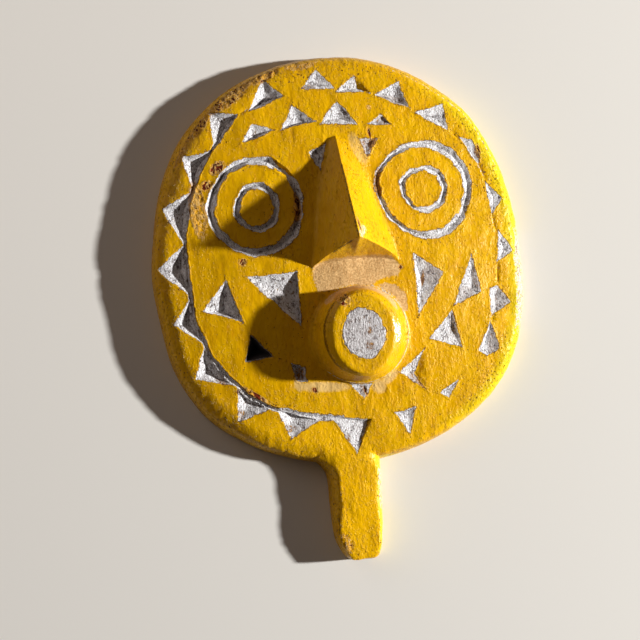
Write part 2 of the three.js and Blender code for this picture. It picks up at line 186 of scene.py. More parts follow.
FACE_CHIPS = [
    (((-45, 58.5), (-38, 70), (-24.5, 65.5), (-35, 63)), (-36.5, 64.5), 2.5),
    (((-24, 66), (-17.5, 77.5), (-7, 69)), (-16, 69.5), 3),
    (((-4.5, 67.5), (4.5, 78.5), (13, 66)), (5, 71.5), 2.9),
    (((18.5, 65.5), (25.5, 70.5), (30.5, 64.5)), (27, 68.5), 2.1),
    (((-6.5, 44.5), (-12, 54), (-3, 57.5)), (-8, 53.5), 3),
    (((17, 49), (14, 58.5), (23, 58)), (15.5, 56.5), 2.5),
    (((-50, -26), (-69, -19), (-57, -4.5)), (-62.5, -22), 4.2),
    (((-22.5, -30.5), (-47, -4), (-22.5, -3.5)), (-24, -16), 4.6),
    (((-37, -43.5), (-51, -45.5), (-47, -32.5)), (-46, -40), 6),
    (((-21.5, -56.5), (-27, -56.5), (-29, -47.5), (-22.5, -50)), (-25.5, -53), 3),
    (((5.5, -67.5), (-1, -60), (9.5, -60.5)), (1.6, -62.4), 0.8),
    (((35, 0.5), (49.5, -9.5), (35.5, -29)), (40.5, -12.5), 4.2),
    (((67.5, -20.5), (53, -25.5), (64, -2)), (60.5, -19.5), 2.8),
    (((55.5, -46.5), (40, -41.5), (52, -28)), (50, -38.5), 2.8),
    (((36.5, -65.5), (23.5, -56), (37, -46)), (26.5, -57), 2.6),
]
BLACK_CHIP = 8
# Facets that kept the yellow paint: the number of the cut, notches first, and the facet's number in it
YELLOW_FACETS = {1: 1, 11: 0, 35: 2}

# Outlines of the places where the paint is worn to pale wood
BARE_ZONES = [
    ((-14.3, -1.6), (-11, -0.4), (-6.5, 0.8), (4.2, 1.5), (15.9, 1.5), (24, 0.4), (28.4, -4.5), (27, -9.5),
     (20.5, -10), (16.5, -11), (14, -13), (8, -13), (3.1, -12), (-1.5, -12.6), (-4.9, -14), (-13.1, -14.4),
     (-15.2, -7)),
    ((16, -13.5), (20, -12.5), (25, -13.5), (30, -19), (30, -27), (27.5, -27), (24.5, -20), (20, -16)),
]
# Oval places where the paint is flaked to dark wood, painted lighter as painted light where the light falls,
# worn thin over pale wood, rough with specks and pits, rubbed to grey with a painted highlight, missing
# from a white cut, stained on a white cut, or polished: the middle of each, half its width and height, its
# turn in degrees, and its strength
SPOTS = {
    "flaked": [
        (-56.4, 49.7, 4.4, 2.9, 34, 1), (-62.2, 41.4, 3.2, 2.6, 30, 0.95), (-67.4, 30, 4, 14, 4, 0.62),
        (-31, 93.5, 9, 3.4, 20, 0.66), (-11, 97.5, 8, 2.4, 8, 0.6), (-48.5, 84, 12, 4.4, 32, 0.68),
        (-65, 72, 11, 4.4, 46, 0.68), (-76, 58, 9, 4, 56, 0.64), (-48.1, 2.9, 2.4, 2, 0, 0.85),
        (-18.6, -61.4, 1.3, 1.8, 30, 1), (19, 61, 0.8, 3.2, 12, 0.8), (-2.9, -19.6, 3, 3.6, 30, 0.66),
        (28.3, -5.5, 1.2, 1.2, 0, 0.9), (73, 50, 0.9, 2.6, 20, 0.72), (-47.6, -61, 8.5, 1.2, -36, 0.72),
        (-19.4, 27, 2, 6.5, 0, 0.78), (6.2, -64.2, 0.7, 3, 14, 0.9), (20, 74, 1.5, 1.2, 0, 0.6),
        (-8.6, -137, 2, 5, 20, 0.62), (6.6, 15, 0.8, 4, 10, 0.74),
    ],
    # Painted light: patches painted brighter where the light falls on them
    "fresh": [
        (0, -124, 17, 30, 0, 1), (-24, -84, 24, 8, -8, 0.9), (14, 4, 9, 3.2, -24, 1),
        (-4, 3.6, 6, 1.6, 24, 0.7),
    ],
    "pale": [
        (12.6, 54, 3, 8, 20, 0.55), (-14.5, -60.2, 13.5, 2.5, -5, 0.9), (-26, -58, 2.2, 3.6, 10, 0.85),
        (13, -62.4, 3.4, 3.6, 40, 0.9), (18.6, -58.4, 5, 2.2, 36, 0.85),
    ],
    "gritty": [
        (8, 36, 3, 26, 4, 0.9), (11, 14, 5, 9, 10, 1), (20, 6, 8, 3.4, -25, 0.9), (7, -19, 15, 4, 0, 0.9),
        (4, 5, 14, 4, 5, 0.9), (70, 60, 12, 14, -40, 0.9), (76, 40, 8, 18, 0, 0.8), (28, 5, 5, 10, 0, 0.8),
        (-66, 4, 5, 10, 0, 0.7), (45, 8, 10, 4, 0, 0.7), (-30, -66, 16, 5, 0, 0.8), (-30, 8, 10, 4, 0, 0.6),
        (64, -66, 16, 9, 40, 0.9), (18, 94, 32, 5, -8, 1), (-16, 92, 16, 5, 8, 0.9),
        (-8, -140, 6, 7, 0, 0.8), (15, 56, 7, 8, 0, 0.8), (-40, 57, 12, 5, -20, 0.6),
    ],
    # Rubbed to grey, and along the mouth's lit foot also a painted highlight
    "rubbed": [
        (7.9, 11.4, 2, 3.4, -24, 0.62), (16.5, -15.4, 10, 1.6, -18, 0.56), (27, -22, 5, 2, -62, 0.5),
        (10.6, -108, 1.6, 10, 0, 0.66),
    ],
    "thin": [
        (-25.4, 46.4, 6.5, 2.2, -42, 1), (73, 51, 1.4, 2.4, 0, 0.7), (61.5, 20.5, 3, 3, 0, 0.5),
    ],
    "dirty": [
        (35.5, -59, 3.4, 8, -20, 0.85), (26, 66.8, 3, 2, 0, 0.46), (20.5, 55, 2.6, 4, 0, 0.8),
        (73.2, 47, 1.8, 5, 20, 0.75), (-25.2, -53, 2, 3, 0, 0.56), (4.6, -63.5, 1.4, 3.4, 0, 0.44),
        (39, -11.8, 0.8, 4, -8, 0.8), (-21, 28, 2.4, 8, 0, 0.7), (-55, -70, 2.4, 2, 0, 0.5),
        (21.4, 36, 2.6, 7, -8, 0.74), (78, -26, 3, 6, 0, 0.36), (72, -46, 2.6, 7, 0, 0.38),
        (59, -21, 4, 3, 0, 0.3), (67, -12, 3, 6, 0, 0.4), (32, 76.5, 7, 2.2, -15, 0.36),
        (54, -36, 3, 5, 0, 0.34), (45, -8, 4, 6, -30, 0.34), (16, 53.5, 2.4, 4, 0, 0.5),
        (31, -60, 3.6, 3, 0, 0.44), (8.5, -35.4, 1.2, 1.9, 10, 0.52), (7.8, -42.2, 2, 2, 0, 0.5),
        (-60, -56, 6, 1.4, -35, 0.5), (-6, -86, 3, 2, 0, 0.5), (-33, -79, 4, 1.6, 0, 0.5),
        (-8.6, 86, 3, 1.4, 0, 0.45),
    ],
    "polished": [(21.7, -35, 2.3, 12.5, 0, 1)],
}
# Lines of painted shade in shaded corners of the paint: the left of the nose's ridge, the left of its lower
# edge, and the grip's left edge; then half the width of such a line
DARK_LINES = [
    ((3.0, 46), (3.4, 38), (3.9, 28.5), (4.5, 20), (5.1, 12), (5.3, 9)),
    ((-5.5, 3.4), (-1.7, 5.4), (2.5, 7.4)),
    ((-11, -103), (-11.2, -112), (-11.3, -120), (-11.8, -128), (-12, -135), (-10.6, -139)),
]
DARK_LINE_HALF = 0.8
# Clock angles between which painted shade lies in the groove's inner corner, and how far it lies inside
# the panel's line
DARK_GROOVE = (186, 224, 0.9)
# Where the right side is rubbed to a pale grey, with a painted highlight on this lit side: start and end
# clock
RUBBED_SIDE = (78, 122)

# Spacing of the mesh's points on the front, on the nose's underside and on the back
FINE = 0.66
STEEP = 0.36
COARSE = 1.7
# How far such points keep from the net's lines, in the same order
FINE_GAP = 0.3
STEEP_GAP = 0.2
COARSE_GAP = 0.6
# Cells across the grid in which the lines are looked up, and points measured at one time
NET_CELLS = 2000
CHUNK = 4096
# Degrees above which an edge of the mesh is sharp
SHARP_ANGLE = 34

# Shapes of a chip's facets, how far its shoulders and valleys are rounded, and its deepest share
SCOOP = 0.82
FULL = 1.3
SHOULDER = 0.07
VALLEY = 0.35
DEEPEST = 1.05
# How far each pit lies towards its steep base wall
PIT_TO_BASE = 0.4
# How much flatter the chips on the right are, and between which x the cuts grow flatter
FLATTER = [(0.34, -35, 25), (0.08, 20, 50)]
# How broad the painted shade along a chip's valley is, as a share of the way to its pit
CREASE = 0.12

# Noise in the shapes, in layers of amplitude, size and seed: the knife's wobble across and up, the adze's
# waves, the nose's facets and the floors of the chips
WOBBLE_ACROSS = [(0.45, 8, 21), (0.22, 3, 22)]
WOBBLE_UP = [(0.45, 8, 23), (0.22, 3, 24)]
WAVES = [(0.28, 13, 41), (0.14, 5.5, 42), (0.05, 2.2, 43)]
NOSE_FACETS = [(0.22, 9, 51), (0.1, 3.5, 52)]
CHIP_FLOORS = [(0.16, 2.4, 71), (0.1, 1.1, 72)]
# The same along the front and back edges, in layers of amplitude, row, size and seed
FRONT_EDGE = [(0.25, 0, 9, 11), (0.2, 5, 2.6, 12), (0.12, 9, 1.1, 13)]
BACK_EDGE = [(0.16, 30, 14, 15), (0.07, 40, 4, 16)]
# How deep the front edge is nicked, the most that it stands out, and how far the back edge stays inside
NICK_DEPTH = 0.9
FRONT_OUT = 0.5
BACK_INSET = 0.24

# How far from its border a mask still counts the distance, and its value before anything is painted
MASK_REACH = 4
OUTSIDE = -9.0
# A distance from the edge that the roll never reaches
FAR_INSIDE = 50.0
# How far the paint on the sides is gritty
SIDE_GRIT = 0.9

# How deep the paint's relief is where it is 1, and half the floor's size in metres
RELIEF_DEPTH = 0.5
FLOOR_HALF = 3.0

# The key light comes low from the right, as in the photograph: height and direction in degrees, then metres
# and watts. The fill stands at the upper left, and both are turned to the same place on the mask
LIT_PLACE = (0, 0, 0.02)
KEY_ELEVATION = 23.3
KEY_AZIMUTH = -2.0
KEY_DISTANCE = 3.0
KEY_SIZE = 0.15
KEY_POWER = 184
KEY_COLOUR = (1.0, 0.985, 0.95)
FILL_PLACE = (-0.66, 0.64, 0.5)
FILL_SIZE = 0.8
FILL_POWER = 1.7
FILL_COLOUR = (1.0, 0.8, 0.68)
WORLD_COLOUR = (1.0, 0.78, 0.63, 1.0)
WORLD_STRENGTH = 0.048

# The photograph's view: the camera's distance and target in millimetres, how many degrees it stands to the
# left and below, and its roll
VIEW_DISTANCE = 740.0
VIEW_TARGET = (-12.2, -5.6, 10.0)
VIEW_LEFT = 6.0
VIEW_BELOW = 1.5
VIEW_ROLL = 5.0
LENS = 85
SENSOR = 36


def curve(t, a, b, c, d):
    """A smooth curve through four values, read between the second and the third."""
    return b + 0.5 * t * (c - a + t * (2 * a - 5 * b + 4 * c - d + t * (3 * (b - c) + d - a)))


def around(values, clock):
    """Values given evenly round the disc, read smoothly at any clock angle."""
    values = np.asarray(values, float)
    count = len(values)
    place = np.mod(clock, 360.0) * count / 360.0
    index = np.floor(place).astype(int)
    return curve(place - index, *(values[(index + offset) % count] for offset in (-1, 0, 1, 2)))


def on_clock(clock, radius):
    angle = np.radians(clock)
    return np.stack([radius * np.sin(angle), radius * np.cos(angle)], axis=-1)


def clock_of(points):
    return np.degrees(np.arctan2(points[:, 0], points[:, 1])) % 360


def smooth(value, start, end):
    t = np.clip((value - start) / (end - start), 0, 1)
    return t * t * (3 - 2 * t)


def band(value, start, full, fading, end):
    """1 between two values, and fading to 0 outside them."""
    return smooth(value, start, full) * (1 - smooth(value, fading, end))


def peak(off, half):
    """1 where the offset is 0, falling evenly to 0 on both sides."""
    return np.clip(1 - np.abs(off) / half, 0, 1)


def noise(x, y, size, seed):
    """Smooth noise between -1 and 1 with features of about that size."""
    grid = np.random.default_rng(seed).uniform(-1, 1, (64, 64))
    u, v = np.asarray(x) / size, np.asarray(y) / size
    i, j = np.floor(u).astype(int), np.floor(v).astype(int)
    s = smooth(u - i, 0, 1)
    t = smooth(v - j, 0, 1)

    def at(across, up):
        return grid[(i + across) % 64, (j + up) % 64]

    low = at(0, 0) * (1 - s) + at(1, 0) * s
    high = at(0, 1) * (1 - s) + at(1, 1) * s
    return low * (1 - t) + high * t


def layered(x, y, layers):
    return sum(amplitude * noise(x, y, size, seed) for amplitude, size, seed in layers)


def along_edge(run, layers):
    return sum(amplitude * noise(run, row, size, seed) for amplitude, row, size, seed in layers)


def smooth_max(a, b, reach):
    near = np.maximum(reach - np.abs(a - b), 0) / reach
    return np.maximum(a, b) + near ** 3 * reach / 6


def subdivided(points, spacing, closed=False):
    """Points along a polyline, no further apart than the spacing, with its corners kept."""
    points = np.asarray(points, float)
    ends = np.roll(points, -1, axis=0) if closed else points[1:]
    rows = []
    for start, end in zip(points, ends):
        count = max(1, math.ceil(np.linalg.norm(end - start) / spacing))
        rows.append(start + (end - start) * (np.arange(count) / count)[:, None])
    if not closed:
        rows.append(points[-1:])
    return np.concatenate(rows)


def spline(points, spacing):
    """A smooth curve through an open row of points of any size."""
    points = np.asarray(points, float)
    padded = np.concatenate([2 * points[:1] - points[1:2], points, 2 * points[-1:] - points[-2:-1]])
    rows = []
    for i in range(len(points) - 1):
        a, b, c, d = padded[i:i + 4]
        count = max(1, math.ceil(np.linalg.norm((c - b)[:2]) / spacing))
        rows.append(curve((np.arange(count) / count)[:, None], a, b, c, d))
    rows.append(points[-1:])
    return np.concatenate(rows)


def mask_outline():
    """The mask's edge at the back and the front, clockwise from the grip's left join."""
    steps = np.linspace(0, 1, DISC_STEPS)
    edges = []
    for (left, right), radii in ((BACK_JOINS, RIM_RADII), (FRONT_JOINS, FRONT_RADII)):
        clock = left + (360 + right - left) * steps
        edges.append(on_clock(clock, around(radii, clock)))
    disc = np.concatenate(edges, axis=1)
    grip = spline(np.concatenate([disc[-1:], np.array(GRIP_SIDES, float), disc[:1]]), FINE)
    both = np.concatenate([disc, grip[1:-1]])
    return both[:, :2], both[:, 2:]


def outward(outline):
    """Unit vectors pointing out of a clockwise outline."""
    along = np.roll(outline, -1, axis=0) - np.roll(outline, 1, axis=0)
    along /= np.linalg.norm(along, axis=1)[:, None]
    return np.stack([-along[:, 1], along[:, 0]], axis=1)


def hand_cut(back, front):
    """The outlines as a knife leaves them: ragged and nicked in front, wavy at the back."""
    run = np.arange(len(front)) * FINE
    nicks = NICK_DEPTH * smooth(noise(run, 20, 4, 14), 0.62, 0.9)
    front = front + outward(front) * (np.minimum(along_edge(run, FRONT_EDGE), FRONT_OUT) - nicks)[:, None]
    back = back - outward(back) * (BACK_INSET - along_edge(run, BACK_EDGE))[:, None]
    return back, front


def warp(points):
    """The wobble of the knife, by which every cut on the face is moved."""
    x, y = points.T
    return np.stack([layered(x, y, WOBBLE_ACROSS), layered(x, y, WOBBLE_UP)], axis=1)


def unwarped(points):
    return points - warp(points - warp(points))


def inside_distances(points, corners):
    """How far inside each side of a convex polygon the points lie, a row for each side."""
    corners = np.asarray(corners, float)
    middle = corners.mean(axis=0)
    rows = []
    for start, end in zip(corners, np.roll(corners, -1, axis=0)):
        side = (end - start) / np.linalg.norm(end - start)
        normal = np.array([-side[1], side[0]])
        if np.dot(middle - start, normal) < 0:
            normal = -normal
        rows.append((points - start) @ normal)
    return np.array(rows)


def base_last(corners):
    """A notch's corners, turned so that its base wall, nearest the disc's middle, comes last."""
    middles = [math.hypot(a[0] + b[0], a[1] + b[1]) for a, b in zip(corners, corners[1:] + corners[:1])]
    start = middles.index(min(middles)) + 1
    return corners[start:] + corners[:start]


def all_chips():
    """Every notch and chip: its corners, its pit and its depth."""
    notches = [(base_last(corners), pit, depth) for corners, pit, depth in EDGE_NOTCHES]
    chips = []
    for corners, pit, depth in notches + FACE_CHIPS:
        a, b, pit = (np.array(place, float) for place in (corners[-1], corners[0], pit))
        foot = a + (b - a) * np.dot(pit - a, b - a) / np.dot(b - a, b - a)
        pit = pit + (foot - pit) * PIT_TO_BASE
        share = 1
        for flatter, start, end in FLATTER:
            share -= flatter * smooth(pit[0], start, end)
        chips.append((corners, pit, depth * share))
    return chips


def chip_cut(points, corners, pit, depth, yellow_facet):
    """A chip's depth, how far inside it and its white paint the points lie, and where shade is painted
    along its valley.

    The knife scooped the outer facets, and left the base wall fuller, so the valleys between them curve.
    """
    inside = inside_distances(points, corners)
    at_pit = inside_distances(pit[None], corners)
    share = inside / at_pit
    painted = inside.min(axis=0)
    if yellow_facet is not None:
        others = np.delete(share, yellow_facet, axis=0).min(axis=0)
        painted = np.minimum(painted, (share[yellow_facet] - others) * at_pit[yellow_facet])
    share = (share + np.sqrt(share ** 2 + SHOULDER ** 2)) / 2
    outer = share[0]
    for other in share[1:-1]:
        outer = -smooth_max(-outer, -other, VALLEY)
    scooped, full = np.maximum(outer, 0) ** SCOOP, share[-1] ** FULL
    cut = np.minimum(np.minimum(scooped, full), DEEPEST)
    crease = peak(scooped - full, CREASE) * smooth(cut, 0.15, 0.5)
    return depth * cut, inside.min(axis=0), painted, crease


def valley(corners, pit, first):
    """The crease between a chip's base wall and its first or last outer facet, up to the pit."""
    corner = np.array(corners[0] if first else corners[-1], float)
    row = 0 if first else len(corners) - 2
    units = corner + np.array([(0, 0), (1, 0), (0, 1)])
    values = (inside_distances(units, corners) / inside_distances(pit[None], corners))[[row, -1]]
    slopes = values[:, 1:] - values[:, :1]
    share = np.linspace(0, 1, 14)
    wanted = np.array([share ** (FULL / SCOOP), share]) - values[:, :1]
    return corner + np.linalg.solve(slopes, wanted).T


def chips_at(moved):
    """The chips' depth, how far inside white and black paint the points lie, the floors, and the creases
    that get painted shade.
    """
    depth, floors, creases = np.zeros((3, len(moved)))
    white = np.full(len(moved), OUTSIDE)
    for number, (corners, pit, deep) in enumerate(all_chips()):
        cut, inside, painted, crease = chip_cut(moved, corners, pit, deep, YELLOW_FACETS.get(number))
        depth = np.maximum(depth, cut)
        creases = np.maximum(creases, crease * (inside > 0))
        white = np.maximum(white, painted)
        floors = np.maximum(floors, np.clip(inside, 0, 1))
        if number == len(EDGE_NOTCHES) + BLACK_CHIP:
            black = inside
    return depth, white, black, floors, creases


def ring_radius(angle, ring):
    """Distance from a ring's middle to its groove, which is a round of straight knife cuts."""
    half = math.pi / ring.cuts
    straight = math.cos(half * 0.6) / np.cos(np.mod(angle + ring.x, 2 * half) - half)
    wobble = 0.012 * np.sin(3 * angle + ring.x) + 0.01 * np.sin(5 * angle + ring.y)
    oval = 1 / np.hypot(np.cos(angle) / ring.half_width, np.sin(angle) / ring.half_height)
    flat = ring.flat * smooth(np.cos(angle - math.radians(FLAT_SIDE_ANGLE)), 0.6, 1)
    return oval * (0.45 + 0.55 * straight + wobble) - flat


def ring_half(angle, ring):
    """Half the width of a ring's groove, which the knife made broader in some places."""
    ripple = 0.14 * np.sin(3 * angle + ring.x) + 0.1 * np.sin(7 * angle) + 0.07 * np.sin(17 * angle)
    return ring.width / 2 * (1 + ring.lean * np.cos(angle) + ripple)


def eye_cuts(points):
    depth = np.zeros(len(points))
    white = np.full(len(points), OUTSIDE)
    for ring in EYE_RINGS:
        dx, dy = (points - (ring.x, ring.y)).T
        angle = np.arctan2(dy, dx)
        half = ring_half(angle, ring)
        off = np.abs(np.hypot(dx, dy) - ring_radius(angle, ring))
        depth = np.maximum(depth, ring.depth * peak(off, half))
        white = np.maximum(white, half - off)
    return depth, white


def panel_groove_cut(points):
    """The grooves on the panel's line: depth, how far inside the white ones, and a painted highlight on the
    others' lit lip.
    """
    clock = clock_of(points)
    out = np.hypot(*points.T) - around(PANEL_RADII, clock)
    depth, pale = np.zeros((2, len(points)))
    white = np.full(len(points), OUTSIDE)
    for start, end, width, deep, is_white in PANEL_GROOVES:
        fade = band(clock, start, start + GROOVE_FADE, end - GROOVE_FADE, end)
        half = width / 2 * (0.8 + 0.3 * noise(clock, 0, 5, 31))
        off = np.abs(out) if is_white else np.where(out < 0, -out * 1.6, out / 3)
        depth = np.maximum(depth, deep * np.clip(1.25 * (1 - off / half), 0, 1) * fade)
        if is_white:
            white = np.where(fade > 0.2, np.maximum(white, half - off), white)
        else:
            # Painted highlight on the lit lip of the grooves that stay yellow
            pale = np.maximum(pale, fade * peak(out + 0.3, 0.9))
    return depth, white, pale


def grip_share(points):
    """1 on the grip, 0 on the disc."""
    return smooth(-points[:, 1], -GRIP_TOP, -GRIP_TOP + GRIP_BLEND) * (np.abs(points[:, 0]) < GRIP_REACH)


def distance_to(points, line):
    result = np.empty(len(points))
    for start in range(0, len(points), CHUNK):
        part = points[start:start + CHUNK]
        gap = part[:, None, :] - line[None, :, :]
        result[start:start + CHUNK] = np.sqrt((gap ** 2).sum(axis=2).min(axis=1))
    return result


def plain_face(points, from_edge):
    """Height of the domed face and the grip's front before anything is cut in them."""
    clock = clock_of(points)
    share = np.minimum(1, np.hypot(*points.T) / around(FRONT_RADII, clock))
    on_grip = grip_share(points)
    to_right = smooth(np.sin(np.radians(clock)), -0.3, 0.8)
    width = ROLL_WIDTH - ROLL_NARROWER * to_right
    drop = ROLL_DROP * (1 - ROLL_FLATTER * to_right)
    width, drop = (on_disc + on_grip * (plain - on_disc) for on_disc, plain in zip((width, drop), GRIP_ROLL))
    roll = np.maximum(0, 1 - from_edge / width) ** 2 * drop
    fall = GRIP_FALL * np.clip((GRIP_TOP - points[:, 1]) / (GRIP_TOP - GRIP_END), 0, 1)
    return EDGE_HEIGHT + DOME_RISE * (1 - share ** 2) - roll - fall * on_grip


def dome_at(x, y):
    return plain_face(np.stack([x, y], axis=1), np.full(len(x), FAR_INSIDE))


def undulation(points):
    """The waves and strokes that the adze and the knife left under the paint."""
    x, y = points.T
    strokes = 0.07 * noise(x + 0.06 * y, y * 0.3, 1.5, 44) * (0.6 + 0.4 * noise(x, y, 11, 45))
    return layered(x, y, WAVES) + strokes + 0.04 * noise(x, y, 1.4, 46)


def nose_sides(x, y):
    """Height of the nose's two slightly hollow sides, which meet in the ridge."""
    rows = spline(NOSE_ROWS, 0.5)[::-1]
    left_foot, ridge_x, ridge, right_foot = (np.interp(y, rows[:, 0], rows[:, i]) for i in (1, 2, 3, 4))
    share = np.abs(x - ridge_x) / np.where(x < ridge_x, ridge_x - left_foot, right_foot - ridge_x)
    share = (np.sqrt(share ** 2 + RIDGE_ROUND ** 2) - RIDGE_ROUND) ** NOSE_HOLLOW
    return ridge - (ridge - dome_at(x, y)) * share - 2 * np.maximum(0, y - rows[-1, 0])


def nose_under_lines(x):
    """The y at which the nose's underside begins, and at which it meets the face."""
    return [np.interp(x, *np.array(line, float).T) for line in (NOSE_UNDER_EDGE, NOSE_UNDER_FOOT)]


def nose_height(points):
    """Height of the wedge nose: its sides, and below their edge the steep underside."""
    x, y = points.T
    facets = layered(x, y, NOSE_FACETS)
    edge_y, foot_y = nose_under_lines(x)
    foot_height = dome_at(x, foot_y)
    rise = np.maximum(nose_sides(x, edge_y) - foot_height, 0.2) / (edge_y - foot_y)
    under = foot_height + rise * (y - foot_y) + facets * 0.5
    flanks = nose_sides(x, y) + facets
    return np.where(y > edge_y, flanks, np.minimum(under, flanks))


def oval_between(level, low, high):
    """Half width and half height of an oval that tapers from the low ring to the high one."""
    return [a + (b - a) * level for a, b in zip(low, high)]


def mouth_level(off, low, high):
    """The level on a tapering oval at places given from its middle."""
    bottom = np.full(len(off), -1.5)
    top = np.full(len(off), 4.0)
    for _ in range(26):
        level = (bottom + top) / 2
        width, height = oval_between(level, low, high)
        outside = (off[:, 0] / width) ** 2 + (off[:, 1] / height) ** 2 > 1
        top = np.where(outside, level, top)
        bottom = np.where(outside, bottom, level)
    return (bottom + top) / 2


def mouth_height(points):
    """Height of the mouth, with its hollow side and bevelled end, and the level on its side."""
    x, y = points.T
    off = points - MOUTH_MIDDLE
    base = dome_at(*np.array([MOUTH_MIDDLE]).T)[0]
    facets = 0.2 * noise(np.arctan2(off[:, 1], off[:, 0]) * 12, 0, 5, 61) + 0.12 * noise(x, y, 4, 62)
    near = np.hypot(*off.T) < MOUTH_REACH
    side = np.full(len(points), -1.4)
    side[near] = mouth_level(off[near], MOUTH_FOOT, MOUTH_SHOULDER)
    cove = np.clip(side, 0, 1) ** MOUTH_COVE + np.minimum(side, 0) + np.maximum(side - 1, 0) * 2
    cone = base + cove * (MOUTH_HEIGHT - MOUTH_BEVEL)
    level = side.copy()
    level[near] = mouth_level(off[near], MOUTH_SHOULDER, MOUTH_END)
    bevel = base + MOUTH_HEIGHT - MOUTH_BEVEL * (1 - level)
    end = base + MOUTH_HEIGHT + 0.12 * noise(x, y, 7, 63)
    return -smooth_max(-np.minimum(cone + facets, bevel), -end, 0.8), side


def mouth_wear(points, side):
    """How far the mouth's side is worn bare, rubbed grey with a painted highlight along its foot, and given
    painted shade under its end.
    """
    clock = clock_of(points - MOUTH_MIDDLE)
    worn = smooth(np.cos(np.radians(clock - MOUTH_WORN_CLOCK)), 0.45, 0.7)
    worn = worn * 3 - 1.5 - 5 * np.abs(side - 0.42)
    rubbed = smooth(np.cos(np.radians(clock - MOUTH_LINE_CLOCK)), -0.85, -0.5)
    rubbed = 0.8 * rubbed * peak(side + 0.01, 0.12)
    start, end = MOUTH_DARK_CLOCKS
    dark = band(clock, start, start + 25, end - 25, end) * peak(side - 0.95, 0.14)
    return worn, rubbed, dark


def oval_inside(moved):
    """How far inside the white oval on the mouth's end the points lie."""
    x, y, half_width, half_height = MOUTH_OVAL
    return (1 - np.hypot((moved[:, 0] - x) / half_width, (moved[:, 1] - y) / half_height)) * half_width


# How far points lie in the lines of painted shade: the shaded corners and the groove's lower left corner
def dark_line_share(points):
    clock = np.arange(*DARK_GROOVE[:2], 0.5)
    groove = on_clock(clock, around(PANEL_RADII, clock) - DARK_GROOVE[2])
    lines = [subdivided(line, 0.4) for line in DARK_LINES] + [groove]
    return peak(np.min([distance_to(points, line) for line in lines], axis=0), DARK_LINE_HALF)


def surface(points, from_edge):
    """Height of the whole carved front, with the masks that its paint is laid on by."""
    x, y = points.T
    moved = points + warp(points)
    depth, white, black, floors, creases = chips_at(moved)
    depth += floors * layered(x, y, CHIP_FLOORS)
    groove, groove_white, pale_lip = panel_groove_cut(moved)
    for cut, inside in (eye_cuts(moved), (groove, groove_white)):
        depth = np.maximum(depth, cut)
        white = np.maximum(white, inside)

    face = plain_face(points, from_edge) + undulation(points) * (1 - floors) - depth
    nose = nose_height(points)
    mouth, mouth_side = mouth_height(points)
    height = smooth_max(smooth_max(face, nose, 1.2 + 2 * smooth(y, 4, 12)), mouth, 2.2)
    raised = np.maximum(nose, mouth) - face - depth
    oval = oval_inside(moved)
    white = np.maximum(np.minimum(white, -raised), oval)
    white -= 1.4 * smooth(spots(points, "thin"), 0.1, 0.9)

    worn, mouth_rubbed, mouth_dark = mouth_wear(points, mouth_side)
    bare = np.max([inside_by(points, zone) for zone in BARE_ZONES] + [worn], axis=0)
    # Worn pale paint, partly a painted highlight on lit lips and edges
    rubbed = [mouth_rubbed, spots(points, "rubbed"), edge_rubbed(points, from_edge), 0.8 * pale_lip]
    masks = {name: spots(points, name) for name in ("flaked", "dirty", "gritty", "fresh", "pale", "polished")}
    height -= 0.3 * smooth(masks["flaked"] + 0.3 * noise(x, y, 1.3, 73), 0.5, 0.75)
    height += 0.12 * smooth(masks["flaked"], 0.3, 0.6) * noise(x, y, 0.9, 74)
    for name, inside in (("white", white), ("black", black), ("bare", bare), ("oval", oval)):
        masks[name] = np.clip(inside, -MASK_REACH, MASK_REACH)
    masks["rubbed"] = np.max(rubbed, axis=0)
    # Painted highlight towards the lit right edge
    masks["lemon"] = lemon(points, from_edge)
    masks["calm"] = smooth(-x, -10, 55) * smooth(from_edge, 4, 10)
    # Painted shade: shaded corners, under the mouth's end and along the chips' valleys
    masks["dark"] = np.max([dark_line_share(points), mouth_dark, 0.75 * creases], axis=0)
    masks["edge"] = from_edge
    return height, masks


def edge_rubbed(points, from_edge):
    """How far the front's right edge is rubbed: worn pale paint, with a painted highlight on this lit edge.
    """
    clock = clock_of(points)
    start, end = RUBBED_SIDE
    side = band(clock, start + 6, start + 16, end - 12, end)
    corner = 0.6 * band(clock, 5, 20, 60, 75) * (1 - smooth(from_edge, 0.2, 0.9))
    return np.maximum(0.7 * side * (1 - smooth(from_edge, 0.5, 3.5)), corner)


def lemon(points, from_edge):
    """How far a painted highlight turns the paint lemon yellow, towards the lit right edge."""
    turned = np.sin(np.radians(clock_of(points))) * (points[:, 1] > GRIP_TOP)
    on_grip = smooth(points[:, 0], 6, 9) * (points[:, 1] <= GRIP_TOP)
    return np.maximum(smooth(turned, 0.35, 0.8), on_grip) * (1 - smooth(from_edge, 1.5, 7))


def spots(points, name):
    """A spot's strength inside the nearest of its oval places, 0.5 at its border, and 0 well outside."""
    result = np.zeros(len(points))
    for x, y, half_width, half_height, turn, strength in SPOTS[name]:
        angle = math.radians(turn)
        dx, dy = points[:, 0] - x, points[:, 1] - y
        along = dx * math.cos(angle) + dy * math.sin(angle)
        across = dy * math.cos(angle) - dx * math.sin(angle)
        fall = 1 - 0.5 * np.hypot(along / half_width, across / half_height) ** 2
        result = np.maximum(result, np.minimum(fall, strength))
    return np.clip(result, 0, 1)


def inside_outline(points, outline):
    """Which points lie inside a closed outline."""
    count = np.zeros(len(points), int)
    x, y = points.T
    for (x1, y1), (x2, y2) in zip(outline, np.roll(outline, -1, axis=0)):
        if y1 == y2:
            continue
        crosses = (y1 > y) != (y2 > y)
        count += crosses & (x < (x2 - x1) * (y - y1) / (y2 - y1) + x1)
    return count % 2 == 1


def inside_by(points, outline):
    """How far inside a closed outline the points lie; below zero outside it."""
    outline = np.array(outline, float)
    gap = distance_to(points, subdivided(outline, 0.4, closed=True))
    return np.where(inside_outline(points, outline), gap, -gap)


